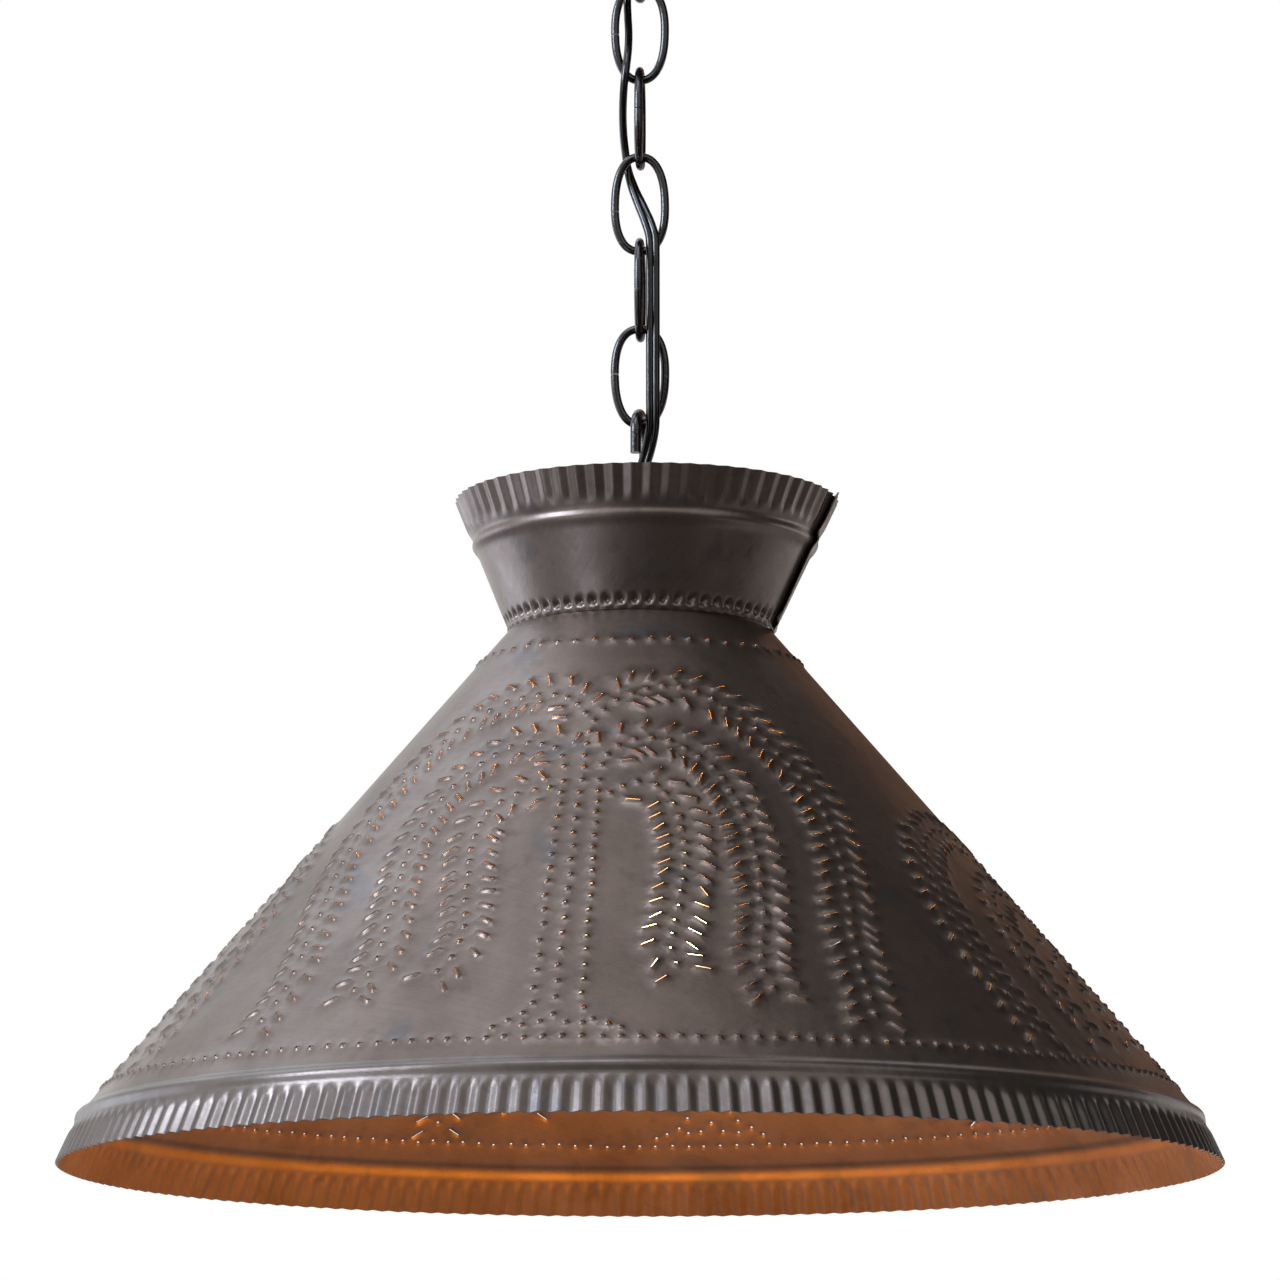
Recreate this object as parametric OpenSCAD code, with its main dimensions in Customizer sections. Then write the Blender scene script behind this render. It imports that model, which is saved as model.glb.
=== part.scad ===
// Pendant lamp with a punched tin cone shade, a flared tin collar, a chain and a cord woven through it.
// Millimetres, +Z up. The origin is the centre of the crossbar's top face, in the plane of the ceiling.

/* [Shade] */
// Diameter across the crimped rim
rim_d = 408; // [330:1:500]
// Height from the rim's edge to the neck
shade_h = 191; // [150:1:240]
// Diameter of the neck, at the middle of the sheet
neck_d = 92.6; // [74:0.2:112]
// Height of the crimped band along the rim
rim_band_h = 13; // [8:0.5:18]
// How far the crimped band spreads over its height
rim_band_flare = 7; // [3:0.5:10]
// Height of the rounded bead above the crimped band
rim_bead_h = 7; // [4:0.5:9]
// How far the bead draws in over its height
rim_bead_in = 4.5; // [2:0.1:7]
// How far the beads stand out of the sheet
bead_out = 1.6; // [0.8:0.1:2.5]
// Thickness of the tin sheet
tin_t = 0.5; // [0.3:0.05:0.8]

/* [Collar] */
// Height of the collar above the neck
collar_h = 47.3; // [38:0.1:58]
// Diameter across the collar's crimped top
collar_top_d = 135.4; // [115:0.2:165]
// Height of the crimped band along the collar's top
collar_band_h = 12.5; // [8:0.5:16]
// Height of the bead below that band
collar_bead_h = 7; // [4:0.5:9]
// Length of the shade's flange inside the collar
flange_l = 6; // [4:0.5:9]

/* [Neck plate] */
// Thickness of the plate under the neck
plate_t = 0.8; // [0.5:0.1:1.5]
// How far the plate lies below the neck
plate_drop = 1.5; // [1.2:0.1:3]
// Height of the plate's skirt against the cone
plate_skirt_h = 6; // [4:0.5:10]

/* [Chain] */
// Outer length of a link
link_l = 38.1; // [32:0.1:46]
// Outer width of a link
link_w = 21; // [17.5:0.1:25]
// Wire thickness of a link
link_wire = 3; // [2.5:0.1:3.6]
// Play where one link hangs in another
link_play = 0.2; // [0.15:0.05:0.4]

/* [Hook] */
// Rod thickness of the hook
hook_rod = 3.8; // [3.2:0.1:4.6]
// Bend radius at the middle of the rod
hook_bend_r = 7.5; // [6.5:0.1:9]
// Height from the hub's top to the middle of the bend's rod
hook_h = 24.5; // [21:0.1:29]
// Length of the hook's short leg below the bend
hook_tip_l = 8; // [4:0.5:10]
// Turn of the hook about the lamp's axis
hook_turn = -12; // [-30:1:30]
// Diameter of the hook's hub
hub_d = 21; // [20:0.5:25]
// Height of the hook's hub
hub_h = 10; // [9:0.5:14]

/* [Stem] */
// Outside diameter of the threaded pipes
pipe_d = 10; // [9:0.1:12]
// Bore of the threaded pipes
pipe_bore = 6.8; // [6.6:0.1:7]
// How far the stem pipe screws into a fitting
pipe_grip = 7; // [5:0.5:8]
// Height from the neck to the underside of the hook's hub
stem_rise = 45; // [36:0.5:54]
// Width across the flats of the lock nuts
nut_af = 14.3; // [13:0.1:18]
// Thickness of the lock nuts
nut_t = 4; // [3:0.5:6]
// Diameter of the washers
washer_d = 24; // [18:0.5:30]
// Thickness of the washers
washer_t = 1.5; // [1:0.1:2.5]

/* [Lampholder] */
// Thickness of the lampholder's porcelain round the screw shell
body_wall = 2; // [1.5:0.1:5]
// Length of the shell
holder_l = 33; // [31:0.5:38]
// Thickness of the shell, the cap and the screw shells
brass_t = 0.5; // [0.4:0.05:0.6]
// Thickness of the insulating liner
liner_t = 0.7; // [0.4:0.05:0.8]
// Height of the cap's dome
cap_dome_h = 11; // [10:0.5:16]
// Length of the cap's skirt over the shell
cap_skirt_l = 5; // [3:0.5:8]
// Diameter of the cap's threaded hub
cap_hub_d = 16; // [14.5:0.1:19]
// Length of the cap's threaded hub
cap_hub_l = 9; // [8:0.5:12]

/* [Bulb] */
// Diameter of the bulb's globe
bulb_d = 60; // [45:1:72]
// Length of the bulb from its tip to its contact
bulb_l = 108; // [95:1:130]
// Diameter over the screw shell's thread
base_d = 26; // [24:0.1:27]
// Length of the screw shell
base_l = 21; // [18:0.5:24]
// Thickness of the glass
glass_t = 0.8; // [0.5:0.1:1.2]

/* [Ceiling fitting] */
// Diameter of the canopy
canopy_d = 127; // [116:1:155]
// Depth of the canopy
canopy_h = 26; // [24:0.5:32]
// Diameter of the canopy's flat middle
canopy_flat_d = 76; // [70:1:90]
// Height of the canopy's straight lip against the ceiling
canopy_lip_h = 2; // [1:0.5:5]
// Thickness of the crossbar
steel_t = 2.5; // [2:0.1:3]
// Thickness of the canopy's sheet
canopy_t = 0.8; // [0.5:0.1:1.2]
// Room between an end of the crossbar and the canopy's edge
bar_room = 9.5; // [4:0.5:12]
// Width of the crossbar
bar_w = 20; // [16:0.5:26]
// Spacing of the slots for the ceiling box screws
slot_spacing = 82; // [78:0.5:84]
// Length of a slot, end to end
slot_l = 14; // [10:0.5:16]
// Width of a slot
slot_w = 4.8; // [4.2:0.1:5.5]
// Spacing of the screws that hold the canopy
screw_spacing = 54; // [50:0.5:58]
// Diameter of the screws that hold the canopy
screw_d = 4; // [3:0.1:5]
// Diameter of the ball nuts
ball_d = 11; // [9:0.5:13]
// Wire thickness of the canopy's loop
loop_wire = 4; // [3.2:0.1:4.6]
// Bend radius at the middle of the loop's wire
loop_bend_r = 8; // [6.8:0.1:9.5]
// Height from the canopy to the middle of the loop's lowest wire
loop_drop = 34.2; // [30:0.1:40]
// Diameter of the loop's hub
loop_hub_d = 20; // [18:0.5:26]
// Height of the loop's hub under the canopy
loop_hub_h = 9; // [7:0.5:12]

/* [Cord] */
// Width of the flat cord
cord_w = 5; // [4.4:0.1:5]
// Thickness of the flat cord
cord_t = 2.8; // [2.4:0.1:2.8]

/* [Fits] */
// Gap between fixed pieces that are screwed, soldered or slipped together
fit = 0.1; // [0.05:0.05:0.15]
// Gap round the bulb's screw shell and below the contact
bulb_play = 0.25; // [0.2:0.05:0.4]

/* [Hidden] */
$fn = 96;
rod_fn = 48;
tube_sides = 8;
// How far a cut runs past the face that it opens
past = 1;

tin = "#453f3d";
black_steel = "#2b2624";
black_rubber = "#171514";
zinc = "#b7b9ba";
brass = "#b08d4f";
porcelain = "#e4dfd2";
card = "#6b5a45";
frosted = "#f4e6cc";
tungsten = "#8b8880";
connector_tan = "#b9772e";
ground_green = "#3f7a4a";

// Heights, worked out downwards from the ceiling
loop_z = -canopy_h - loop_drop;
link_bow = (link_l - link_wire) / 2;
link_pitch = link_l - 2 * link_wire - link_play;
function link_z(k) = loop_z + (loop_wire + link_wire) / 2 + link_play - link_bow - (k - 1) * link_pitch;
last_bow_z = link_z(5) - link_bow;
hook_z = last_bow_z + (link_wire + hook_rod) / 2 + link_play;
hub_z = hook_z - hook_h - hub_h;
neck_z = hub_z - stem_rise;
rim_z = neck_z - shade_h;
plate_z = neck_z - plate_drop;
nut_z = plate_z - plate_t / 2 - washer_t - nut_t;
cap_z = nut_z;
dome_z = cap_z - cap_hub_l / 2;
skirt_z = dome_z - cap_dome_h;
holder_top_z = skirt_z - cap_skirt_l / 4;
mouth_z = holder_top_z - holder_l;
pipe_low_z = cap_z - cap_hub_l;

// The lampholder, worked out from the bulb's screw shell outwards
thread_h = 0.5;
thread_turns = 6;
shell_crest_r = base_d / 2 + bulb_play;
shell_out_r = shell_crest_r + thread_h + brass_t;
body_bore_r = shell_out_r + fit;
body_r = body_bore_r + body_wall;
liner_r = body_r + fit + liner_t;
holder_r = liner_r + fit + brass_t;
block_rise = 2;
block_h = 9;
shelf_t = 2;
body_top_z = holder_top_z + block_rise;
cavity_z = body_top_z - block_h;
contact_t = 0.8;
contact_d = 9;

// The bulb, worked out downwards from its contact
tip_z = cavity_z - contact_t - bulb_play;
tip_h = 1.5;
tip_d = [9.2, 6.4];
insulator_h = 4.5;
insulator_d = 10;
base_top_z = tip_z - tip_h - insulator_h;
base_low_z = base_top_z - base_l;
base_bore_r = base_d / 2 - thread_h - brass_t;
throat_r = base_bore_r - fit - glass_t / 2;
globe_z = tip_z - bulb_l + bulb_d / 2;

// Small fixed sizes of the screws, the connectors and the filament
terminal_d = 3.4;
terminal_l = 6;
terminal_head = [5.6, 1.6];
terminal_z = cavity_z + 5.5;
set_screw_d = 3;
set_screw_head = [3.6, 1.2];
set_screw_z = cap_z - cap_hub_l / 4;
ground_d = 4;
ground_head = [8, 2.2];
ground_x = 15;
ball_seat_h = 2;
ball_seat_d = ball_d * 0.8;
ball_drop = ball_d * 0.4;
screw_in_ball = ball_d / 3;
thread_past_nut = 2;
connector_d = [10, 6.5];
connector_l = 17;
lead_d = 2.3;
block_r = body_r - terminal_head[1] - lead_d;
filament_d = 1.6;
filament_l = 22;
support_d = 0.8;
stem_d = 6;
stem_flare_h = 3;
stem_foot_z = globe_z + bulb_d / 6;

// The shade's outline at the middle of the sheet, from the rim's edge up to the flange's edge
rim_r = rim_d / 2;
neck_r = neck_d / 2;
cone_foot = [rim_r - rim_band_flare - rim_bead_in, rim_z + rim_band_h + rim_bead_h];
cone_slope = (cone_foot[0] - neck_r) / (neck_z - cone_foot[1]);
function cone_r(z) = neck_r + (neck_z - z) * cone_slope;
cone_lean = atan(cone_slope);
collar_lean = atan((collar_top_d / 2 - neck_r) / collar_h);
collar_r = neck_r + (tin_t + fit) / cos(collar_lean);
collar_slope = (collar_top_d / 2 - collar_r) / collar_h;
function collar_wall_r(z) = collar_r + (z - neck_z) * collar_slope;

function left_of(a, b) = let (d = (b - a) / norm(b - a)) [-d[1], d[0]];
// The offset at a corner that keeps both neighbouring stretches at the same thickness
function mitre(p, i) =
    let (n = len(p) - 1)
    let (before = left_of(p[max(i - 1, 0)], p[max(i, 1)]))
    let (after = left_of(p[min(i, n - 1)], p[min(i + 1, n)]))
    (before + after) / (1 + before * after);
// The cross-section of a sheet of thickness t along the line p
function sheet(p, t) = concat(
    [for (i = [0 : len(p) - 1]) p[i] + mitre(p, i) * t / 2],
    [for (i = [len(p) - 1 : -1 : 0]) p[i] - mitre(p, i) * t / 2]
);
// A bead between two points: a half wave that stands out of the line, to its right
function bead(a, b, out, steps = 8) =
    [for (i = [0 : steps]) let (s = i / steps) a + (b - a) * s - left_of(a, b) * out * pow(sin(180 * s), 2)];
function bezier(a, b, c, steps = 8) =
    [for (i = [0 : steps]) let (s = i / steps) a * (1 - s) * (1 - s) + b * 2 * s * (1 - s) + c * s * s];

// The cord's route, from inside the canopy to inside the stem: x, y, z and the direction of its wide side
route = [
    [0, 11, -9, 0], [0, 6.5, -10.5, 0], [0, 2.6, -13.5, 0], [0, 0.4, -18, 0], [0, 0, -24, 20],
    [0, 0, -36, 60],
    [-0.8, 0.8, -42, 80], [-2.4, 2.6, -48, 90], [-4, 4.2, -54, 90], [-4.6, 4.8, -60, 90],
    [-4.4, 3.2, -67, 90], [-4.1, 0.4, -74, 90],
    [-4.3, -2.6, -81, 90], [-5, -4.6, -88, 90], [-5.7, -4.4, -94, 90], [-6.1, -2.6, -100, 90],
    [-6.2, 0, -106, 90],
    [-5.9, 2.6, -112, 90], [-5.2, 4.5, -118, 90], [-4.3, 4.6, -124, 80], [-2.4, 3.2, -131, 55],
    [0.2, 0.6, -138, 30],
    [2.8, -2, -145, 10], [4.4, -3.5, -151, 0], [4.6, -3.8, -157, 0], [4.6, -3.8, -164, 0],
    [4.6, -3.8, -170, 0],
    [4.6, -3.8, -178, 0], [4.6, -3.8, -186, 0], [4.6, -3.8, -194, 0], [4.6, -3.8, -202, 0],
    [4.6, -3.8, -210, 0], [4.6, -3.7, -217, 0], [4.2, -3, -223, -10], [2.9, -1.9, -229, -20],
    [1.3, -0.8, -234.5, -30], [0.3, -0.2, -240, -40],
    [0, 0, -247, -45], [0, 0, -265, -60], [0, 0, -285, -75], [0, 0, -305, -90], [0, 0, -312, -90]
];
// First and last route point of each stretch: head, the six between the links' middles, and tail
head_span = [0, 5];
spans = [[5, 11], [11, 16], [16, 21], [21, 26], [26, 30], [30, 36]];
tail_span = [36, 41];
// Routes of the split leads, for the side towards +X
canopy_lead = [
    [1.3, 11.6, -8.8, 0], [2.4, 16, -8.4, 0], [7, 21, -8.6, 0], [13, 23.9, -9, 0], [19, 24, -9, 0]
];
socket_lead = [
    [0, 1.3, pipe_low_z - 1.1, 0], [0.8, 1.3, pipe_low_z - 2.5, 0], [5, 0.8, pipe_low_z - 3.2, 0],
    [block_r - 0.5, 0, pipe_low_z - 3.9, 0], [block_r + 1.7, 0, pipe_low_z - 5.2, 0]
];

function direction(p, i) =
    let (a = p[max(i - 1, 0)])
    let (b = p[min(i + 1, len(p) - 1)])
    let (d = [b[0] - a[0], b[1] - a[1], b[2] - a[2]])
    d / norm(d);
// One ring of the cord: points of a w by t oval, square to the route
function ring(p, i, w, t) =
    let (d = direction(p, i))
    let (across = cross(d, [-sin(p[i][3]), cos(p[i][3]), 0]))
    let (wide = across / norm(across))
    let (thick = cross(d, wide))
    [for (j = [0 : tube_sides - 1])
        let (a = 360 * (j + 0.5) / tube_sides)
        [p[i][0], p[i][1], p[i][2]] + wide * cos(a) * w / 2 + thick * sin(a) * t / 2];

module tube(p, span, w, t) {
    last = (span[1] - span[0]) * tube_sides;
    points = [for (i = [span[0] : span[1]]) each ring(p, i, w, t)];
    walls = [
        for (a = [0 : tube_sides : last - tube_sides], j = [0 : tube_sides - 1])
            let (b = a + (j + 1) % tube_sides)
            each [[a + j, b, b + tube_sides], [a + j, b + tube_sides, a + j + tube_sides]]
    ];
    caps = [for (j = [1 : tube_sides - 2]) each [[0, j + 1, j], [last, last + j, last + j + 1]]];
    polyhedron(points, concat(walls, caps));
}

module ring_of(outer_r, bore_r, h) {
    difference() {
        cylinder(r = outer_r, h = h);
        translate([0, 0, -past])
            cylinder(r = bore_r, h = h + 2 * past);
    }
}

module lock_nut(z) {
    translate([0, 0, z])
        difference() {
            cylinder(d = nut_af / cos(30), h = nut_t, $fn = 6);
            translate([0, 0, -past])
                cylinder(d = pipe_d + 2 * fit, h = nut_t + 2 * past);
        }
}

// Half a ring of round rod in the XZ plane, above its centre
module bow(bend_r, rod_d) {
    rotate([90, 0, 0])
        rotate_extrude(angle = 180)
            translate([bend_r, 0])
                circle(d = rod_d, $fn = rod_fn);
}

// An upright loop of round rod in the XZ plane, with straight sides between two bows
module oval_loop(length, bend_r, rod_d) {
    side = length - rod_d - 2 * bend_r;
    for (up = [0, 180])
        rotate([0, up, 0])
            translate([0, 0, side / 2])
                bow(bend_r, rod_d);
    for (x = [-bend_r, bend_r])
        translate([x, 0, -side / 2])
            cylinder(d = rod_d, h = side, $fn = rod_fn);
}

// Screw pointing up from z = 0, with a slotted round head of the given diameter and height under it
module screw(d, l, head) {
    head_d = head[0];
    head_h = head[1];
    slot_deep = head_h * 0.4;
    slot_wide = head_d * 0.16;
    cylinder(d = d, h = l);
    difference() {
        translate([0, 0, -head_h])
            cylinder(d = head_d, h = head_h);
        translate([-head_d, -slot_wide / 2, -head_h - past])
            cube([2 * head_d, slot_wide, slot_deep + past]);
    }
}

// The outline of a screw thread drawn as round ridges, from z = 0 up
function thread(crest_r, l, turns) = [
    for (i = [0 : 2 * turns])
        [crest_r - (i % 2 == 0 ? thread_h : 0), l * i / (2 * turns)]
];

// Ceiling fitting

module crossbar() {
    bar_l = canopy_d - 2 * bar_room;
    cut_z = -steel_t - past;
    cut_h = steel_t + 2 * past;
    slot_run = slot_l - slot_w;
    color(zinc)
        difference() {
            translate([-bar_l / 2, -bar_w / 2, -steel_t])
                cube([bar_l, bar_w, steel_t]);
            for (side = [-1, 1]) {
                for (end = [-1, 1])
                    translate([(side * slot_spacing + end * slot_run) / 2, 0, cut_z])
                        cylinder(d = slot_w, h = cut_h);
                translate([(side * slot_spacing - slot_run) / 2, -slot_w / 2, cut_z])
                    cube([slot_run, slot_w, cut_h]);
                translate([side * screw_spacing / 2, 0, cut_z])
                    cylinder(d = screw_d + 2 * fit, h = cut_h);
            }
            translate([ground_x, 0, cut_z])
                cylinder(d = ground_d + 2 * fit, h = cut_h);
        }
}

module ground_screw() {
    color(ground_green)
        translate([ground_x, 0, -steel_t])
            screw(ground_d, steel_t, ground_head);
}

module canopy_screws() {
    screw_l = canopy_h + ball_seat_h + screw_in_ball;
    color(zinc)
        for (side = [-1, 1])
            translate([side * screw_spacing / 2, 0, -screw_l])
                cylinder(d = screw_d, h = screw_l);
}

module ball_nuts() {
    seat_z = -canopy_h - ball_seat_h;
    color(black_steel)
        for (side = [-1, 1])
            translate([side * screw_spacing / 2, 0, seat_z])
                difference() {
                    union() {
                        cylinder(d = ball_seat_d, h = ball_seat_h);
                        intersection() {
                            translate([0, 0, -ball_drop])
                                sphere(d = ball_d);
                            translate([0, 0, -2 * ball_d])
                                cylinder(d = 2 * ball_d, h = 2 * ball_d);
                        }
                    }
                    translate([0, 0, -screw_in_ball - fit])
                        cylinder(d = screw_d + 2 * fit, h = ball_d);
                }
}

module canopy() {
    shoulder_r = canopy_flat_d / 2;
    low_z = -canopy_h + canopy_t / 2;
    side_r = (canopy_d - canopy_t) / 2;
    line = concat(
        [[pipe_d / 2 + fit, low_z]],
        [for (a = [0 : 9 : 90]) [
            shoulder_r + (side_r - shoulder_r) * sin(a),
            (low_z + canopy_lip_h) * cos(a) - canopy_lip_h
        ]],
        [[side_r, 0]]
    );
    color(black_steel)
        difference() {
            rotate_extrude()
                polygon(sheet(line, canopy_t));
            for (side = [-1, 1])
                translate([side * screw_spacing / 2, 0, -canopy_h - past])
                    cylinder(d = screw_d + 2 * fit, h = canopy_t + 2 * past);
        }
}

module canopy_loop() {
    // The loop's upper bow is sunk into the hub by the thickness of its wire
    loop_l = loop_drop - loop_hub_h + 1.5 * loop_wire;
    stem_h = canopy_t + nut_t + thread_past_nut;
    low_z = -canopy_h - loop_hub_h;
    color(black_steel)
        difference() {
            union() {
                translate([0, 0, loop_z - loop_wire / 2 + loop_l / 2])
                    rotate([0, 0, 90])
                        oval_loop(loop_l, loop_bend_r, loop_wire);
                translate([0, 0, low_z])
                    cylinder(d = loop_hub_d, h = loop_hub_h);
                translate([0, 0, -canopy_h])
                    cylinder(d = pipe_d, h = stem_h);
            }
            translate([0, 0, low_z - loop_wire])
                cylinder(d = pipe_bore, h = loop_wire + loop_hub_h + stem_h + past);
        }
}

module loop_lock_nut() {
    color(zinc)
        lock_nut(-canopy_h + canopy_t);
}

module wire_connectors() {
    grip = canopy_lead[3];
    color(connector_tan)
        for (side = [0, 1])
            mirror([side, 0, 0])
                translate([grip[0], grip[1], grip[2]])
                    rotate([0, 90, 0])
                        difference() {
                            cylinder(d1 = connector_d[0], d2 = connector_d[1], h = connector_l);
                            translate([0, 0, -past])
                                cylinder(d = lead_d + 6 * fit, h = connector_l / 2);
                        }
}

module canopy_leads() {
    color(black_rubber)
        for (side = [0, 1])
            mirror([side, 0, 0])
                tube(canopy_lead, [0, len(canopy_lead) - 1], lead_d, lead_d);
}

module cord_head() {
    color(black_rubber)
        tube(route, head_span, cord_w, cord_t);
}

// Chain, and the cord woven through it

module chain_link(k) {
    color(black_steel)
        translate([0, 0, link_z(k)])
            rotate([0, 0, k % 2 == 1 ? 0 : 90])
                oval_loop(link_l, (link_w - link_wire) / 2, link_wire);
}

module cord_stretch(k) {
    color(black_rubber)
        tube(route, spans[k - 1], cord_w, cord_t);
}

// Lamp

module hook() {
    leg_l = hook_h - hook_bend_r;
    color(black_steel)
        rotate([0, 0, hook_turn])
            difference() {
                union() {
                    translate([0, 0, hook_z - hook_bend_r])
                        rotate([0, 0, 90])
                            bow(hook_bend_r, hook_rod);
                    translate([0, hook_bend_r, hub_z + hub_h / 2])
                        cylinder(d = hook_rod, h = leg_l + hub_h / 2, $fn = rod_fn);
                    translate([0, -hook_bend_r, hook_z - hook_bend_r - hook_tip_l])
                        cylinder(d = hook_rod, h = hook_tip_l, $fn = rod_fn);
                    translate([0, 0, hub_z])
                        cylinder(d = hub_d, h = hub_h);
                }
                translate([0, 0, hub_z - past])
                    cylinder(d = pipe_d + 2 * fit, h = pipe_grip + past);
                translate([0, 0, hub_z])
                    cylinder(d = pipe_bore, h = hub_h + past);
            }
}

module stem_pipe() {
    color(zinc)
        translate([0, 0, pipe_low_z])
            ring_of(pipe_d / 2, pipe_bore / 2, hub_z + pipe_grip - pipe_low_z);
}

module top_lock_nut() {
    color(zinc)
        lock_nut(plate_z + plate_t / 2 + washer_t);
}

module top_washer() {
    color(zinc)
        translate([0, 0, plate_z + plate_t / 2])
            ring_of(washer_d / 2, pipe_d / 2 + fit, washer_t);
}

module neck_plate() {
    // The skirt lies against the inside of the cone, a fit away from it
    inset = (tin_t / 2 + plate_t / 2 + fit) / cos(cone_lean);
    line = [
        [pipe_d / 2 + fit, plate_z],
        [cone_r(plate_z) - inset, plate_z],
        [cone_r(plate_z - plate_skirt_h) - inset, plate_z - plate_skirt_h]
    ];
    color(tin)
        rotate_extrude()
            polygon(sheet(line, plate_t));
}

module bottom_washer() {
    color(zinc)
        translate([0, 0, plate_z - plate_t / 2 - washer_t])
            ring_of(washer_d / 2, pipe_d / 2 + fit, washer_t);
}

module bottom_lock_nut() {
    color(zinc)
        lock_nut(nut_z);
}

module shade() {
    band_top = [rim_r - rim_band_flare, rim_z + rim_band_h];
    line = concat(
        [[rim_r - tin_t / 2, rim_z]],
        bead(band_top, cone_foot, bead_out),
        [[neck_r, neck_z], [neck_r + flange_l * collar_slope, neck_z + flange_l]]
    );
    color(tin)
        rotate_extrude()
            polygon(sheet(line, tin_t));
}

module collar() {
    bead_z = neck_z + collar_h - collar_band_h;
    top_z = neck_z + collar_h;
    line = concat(
        [[collar_r, neck_z]],
        bead(
            [collar_wall_r(bead_z - collar_bead_h), bead_z - collar_bead_h],
            [collar_wall_r(bead_z), bead_z],
            bead_out
        ),
        [[collar_wall_r(top_z) - tin_t / 2, top_z]]
    );
    color(tin)
        rotate_extrude()
            polygon(sheet(line, tin_t));
}

// Lampholder

module socket_cap() {
    skirt_r = holder_r + fit + brass_t / 2;
    crown_r = cap_hub_d / 2 - brass_t;
    line = concat(
        [for (a = [0 : 15 : 90]) [crown_r + (skirt_r - crown_r) * sin(a), skirt_z + cap_dome_h * cos(a)]],
        [[skirt_r, skirt_z - cap_skirt_l]]
    );
    color(brass)
        difference() {
            union() {
                rotate_extrude()
                    polygon(sheet(line, brass_t));
                translate([0, 0, pipe_low_z])
                    ring_of(cap_hub_d / 2, pipe_d / 2 + fit, cap_hub_l);
            }
            translate([0, 0, set_screw_z])
                rotate([-90, 0, 0])
                    cylinder(d = set_screw_d + 2 * fit, h = cap_hub_d);
        }
}

module cap_set_screw() {
    color(zinc)
        translate([0, cap_hub_d / 2 + fit, set_screw_z])
            rotate([90, 0, 0])
                screw(set_screw_d, (cap_hub_d - pipe_d) / 2, set_screw_head);
}

module socket_shell() {
    mouth_flare = [0.6, 2];
    r = holder_r - brass_t / 2;
    line = [[r, holder_top_z], [r, mouth_z + mouth_flare[1]], [r + mouth_flare[0], mouth_z]];
    color(brass)
        rotate_extrude()
            polygon(sheet(line, brass_t));
}

module socket_liner() {
    setback = 1;
    color(card)
        translate([0, 0, mouth_z + setback])
            ring_of(liner_r, liner_r - liner_t, holder_l - setback);
}

module socket_body() {
    setback = 2;
    low_z = mouth_z + setback;
    color(porcelain)
        difference() {
            union() {
                translate([0, 0, low_z])
                    cylinder(r = body_r, h = cavity_z + shelf_t - low_z);
                translate([0, 0, cavity_z])
                    cylinder(r = block_r, h = block_h);
            }
            translate([0, 0, low_z - past])
                cylinder(r = body_bore_r, h = cavity_z - low_z + past);
            for (side = [0, 180])
                rotate([0, 0, side])
                    translate([block_r + past, 0, terminal_z])
                        rotate([0, -90, 0])
                            cylinder(d = terminal_d + 2 * fit, h = past + terminal_l + fit);
        }
}

module socket_screw_shell() {
    shell_gap = 1;
    shell_l = base_l - shell_gap;
    inner = thread(shell_crest_r + thread_h, shell_l, thread_turns);
    outer = [[shell_out_r, shell_l], [shell_out_r, 0]];
    color(brass)
        translate([0, 0, cavity_z - base_l])
            rotate_extrude()
                polygon(concat(inner, outer));
}

module socket_contact() {
    color(brass)
        translate([0, 0, cavity_z - contact_t])
            cylinder(d = contact_d, h = contact_t);
}

module terminal_screws() {
    color(brass)
        for (side = [0, 180])
            rotate([0, 0, side])
                translate([block_r, 0, terminal_z])
                    rotate([0, -90, 0])
                        screw(terminal_d, terminal_l, terminal_head);
}

module socket_leads() {
    color(black_rubber)
        for (side = [0, 180])
            rotate([0, 0, side])
                tube(socket_lead, [0, len(socket_lead) - 1], lead_d, lead_d);
}

module cord_tail() {
    color(black_rubber)
        tube(route, tail_span, cord_w, cord_t);
}

// Bulb

module bulb_glass() {
    globe_r = (bulb_d - glass_t) / 2;
    globe_steps = 20;
    shoulder = 35;
    neck_in = 5;
    start = [globe_r * cos(shoulder), globe_z + globe_r * sin(shoulder)];
    bend = [throat_r, start[1] + (start[0] - throat_r) / tan(shoulder)];
    line = concat(
        [for (i = [0 : globe_steps - 1])
            let (a = (90 + shoulder) * i / globe_steps - 90)
            [globe_r * cos(a), globe_z + globe_r * sin(a)]],
        bezier(start, bend, [throat_r, base_low_z]),
        [[throat_r, base_low_z + neck_in]]
    );
    // Half the glass, from its middle inwards, with the lowest point kept on the axis
    half = [for (i = [0 : len(line) - 1]) (i == 0 ? [0, 1] : mitre(line, i)) * glass_t / 2];
    color(frosted, 0.6)
        rotate_extrude()
            polygon(concat(line - half, [for (i = [len(line) - 1 : -1 : 0]) line[i] + half[i]]));
}

module bulb_screw_shell() {
    outer = thread(base_d / 2, base_l, thread_turns);
    inner = [[base_bore_r, base_l], [base_bore_r, 0]];
    color(zinc)
        translate([0, 0, base_low_z])
            rotate_extrude()
                polygon(concat(outer, inner));
}

module bulb_insulator() {
    color(black_rubber)
        translate([0, 0, base_top_z])
            cylinder(d1 = base_d - 2 * thread_h, d2 = insulator_d, h = insulator_h);
}

module bulb_contact() {
    color(zinc)
        translate([0, 0, tip_z - tip_h])
            cylinder(d1 = tip_d[0], d2 = tip_d[1], h = tip_h);
}

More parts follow.
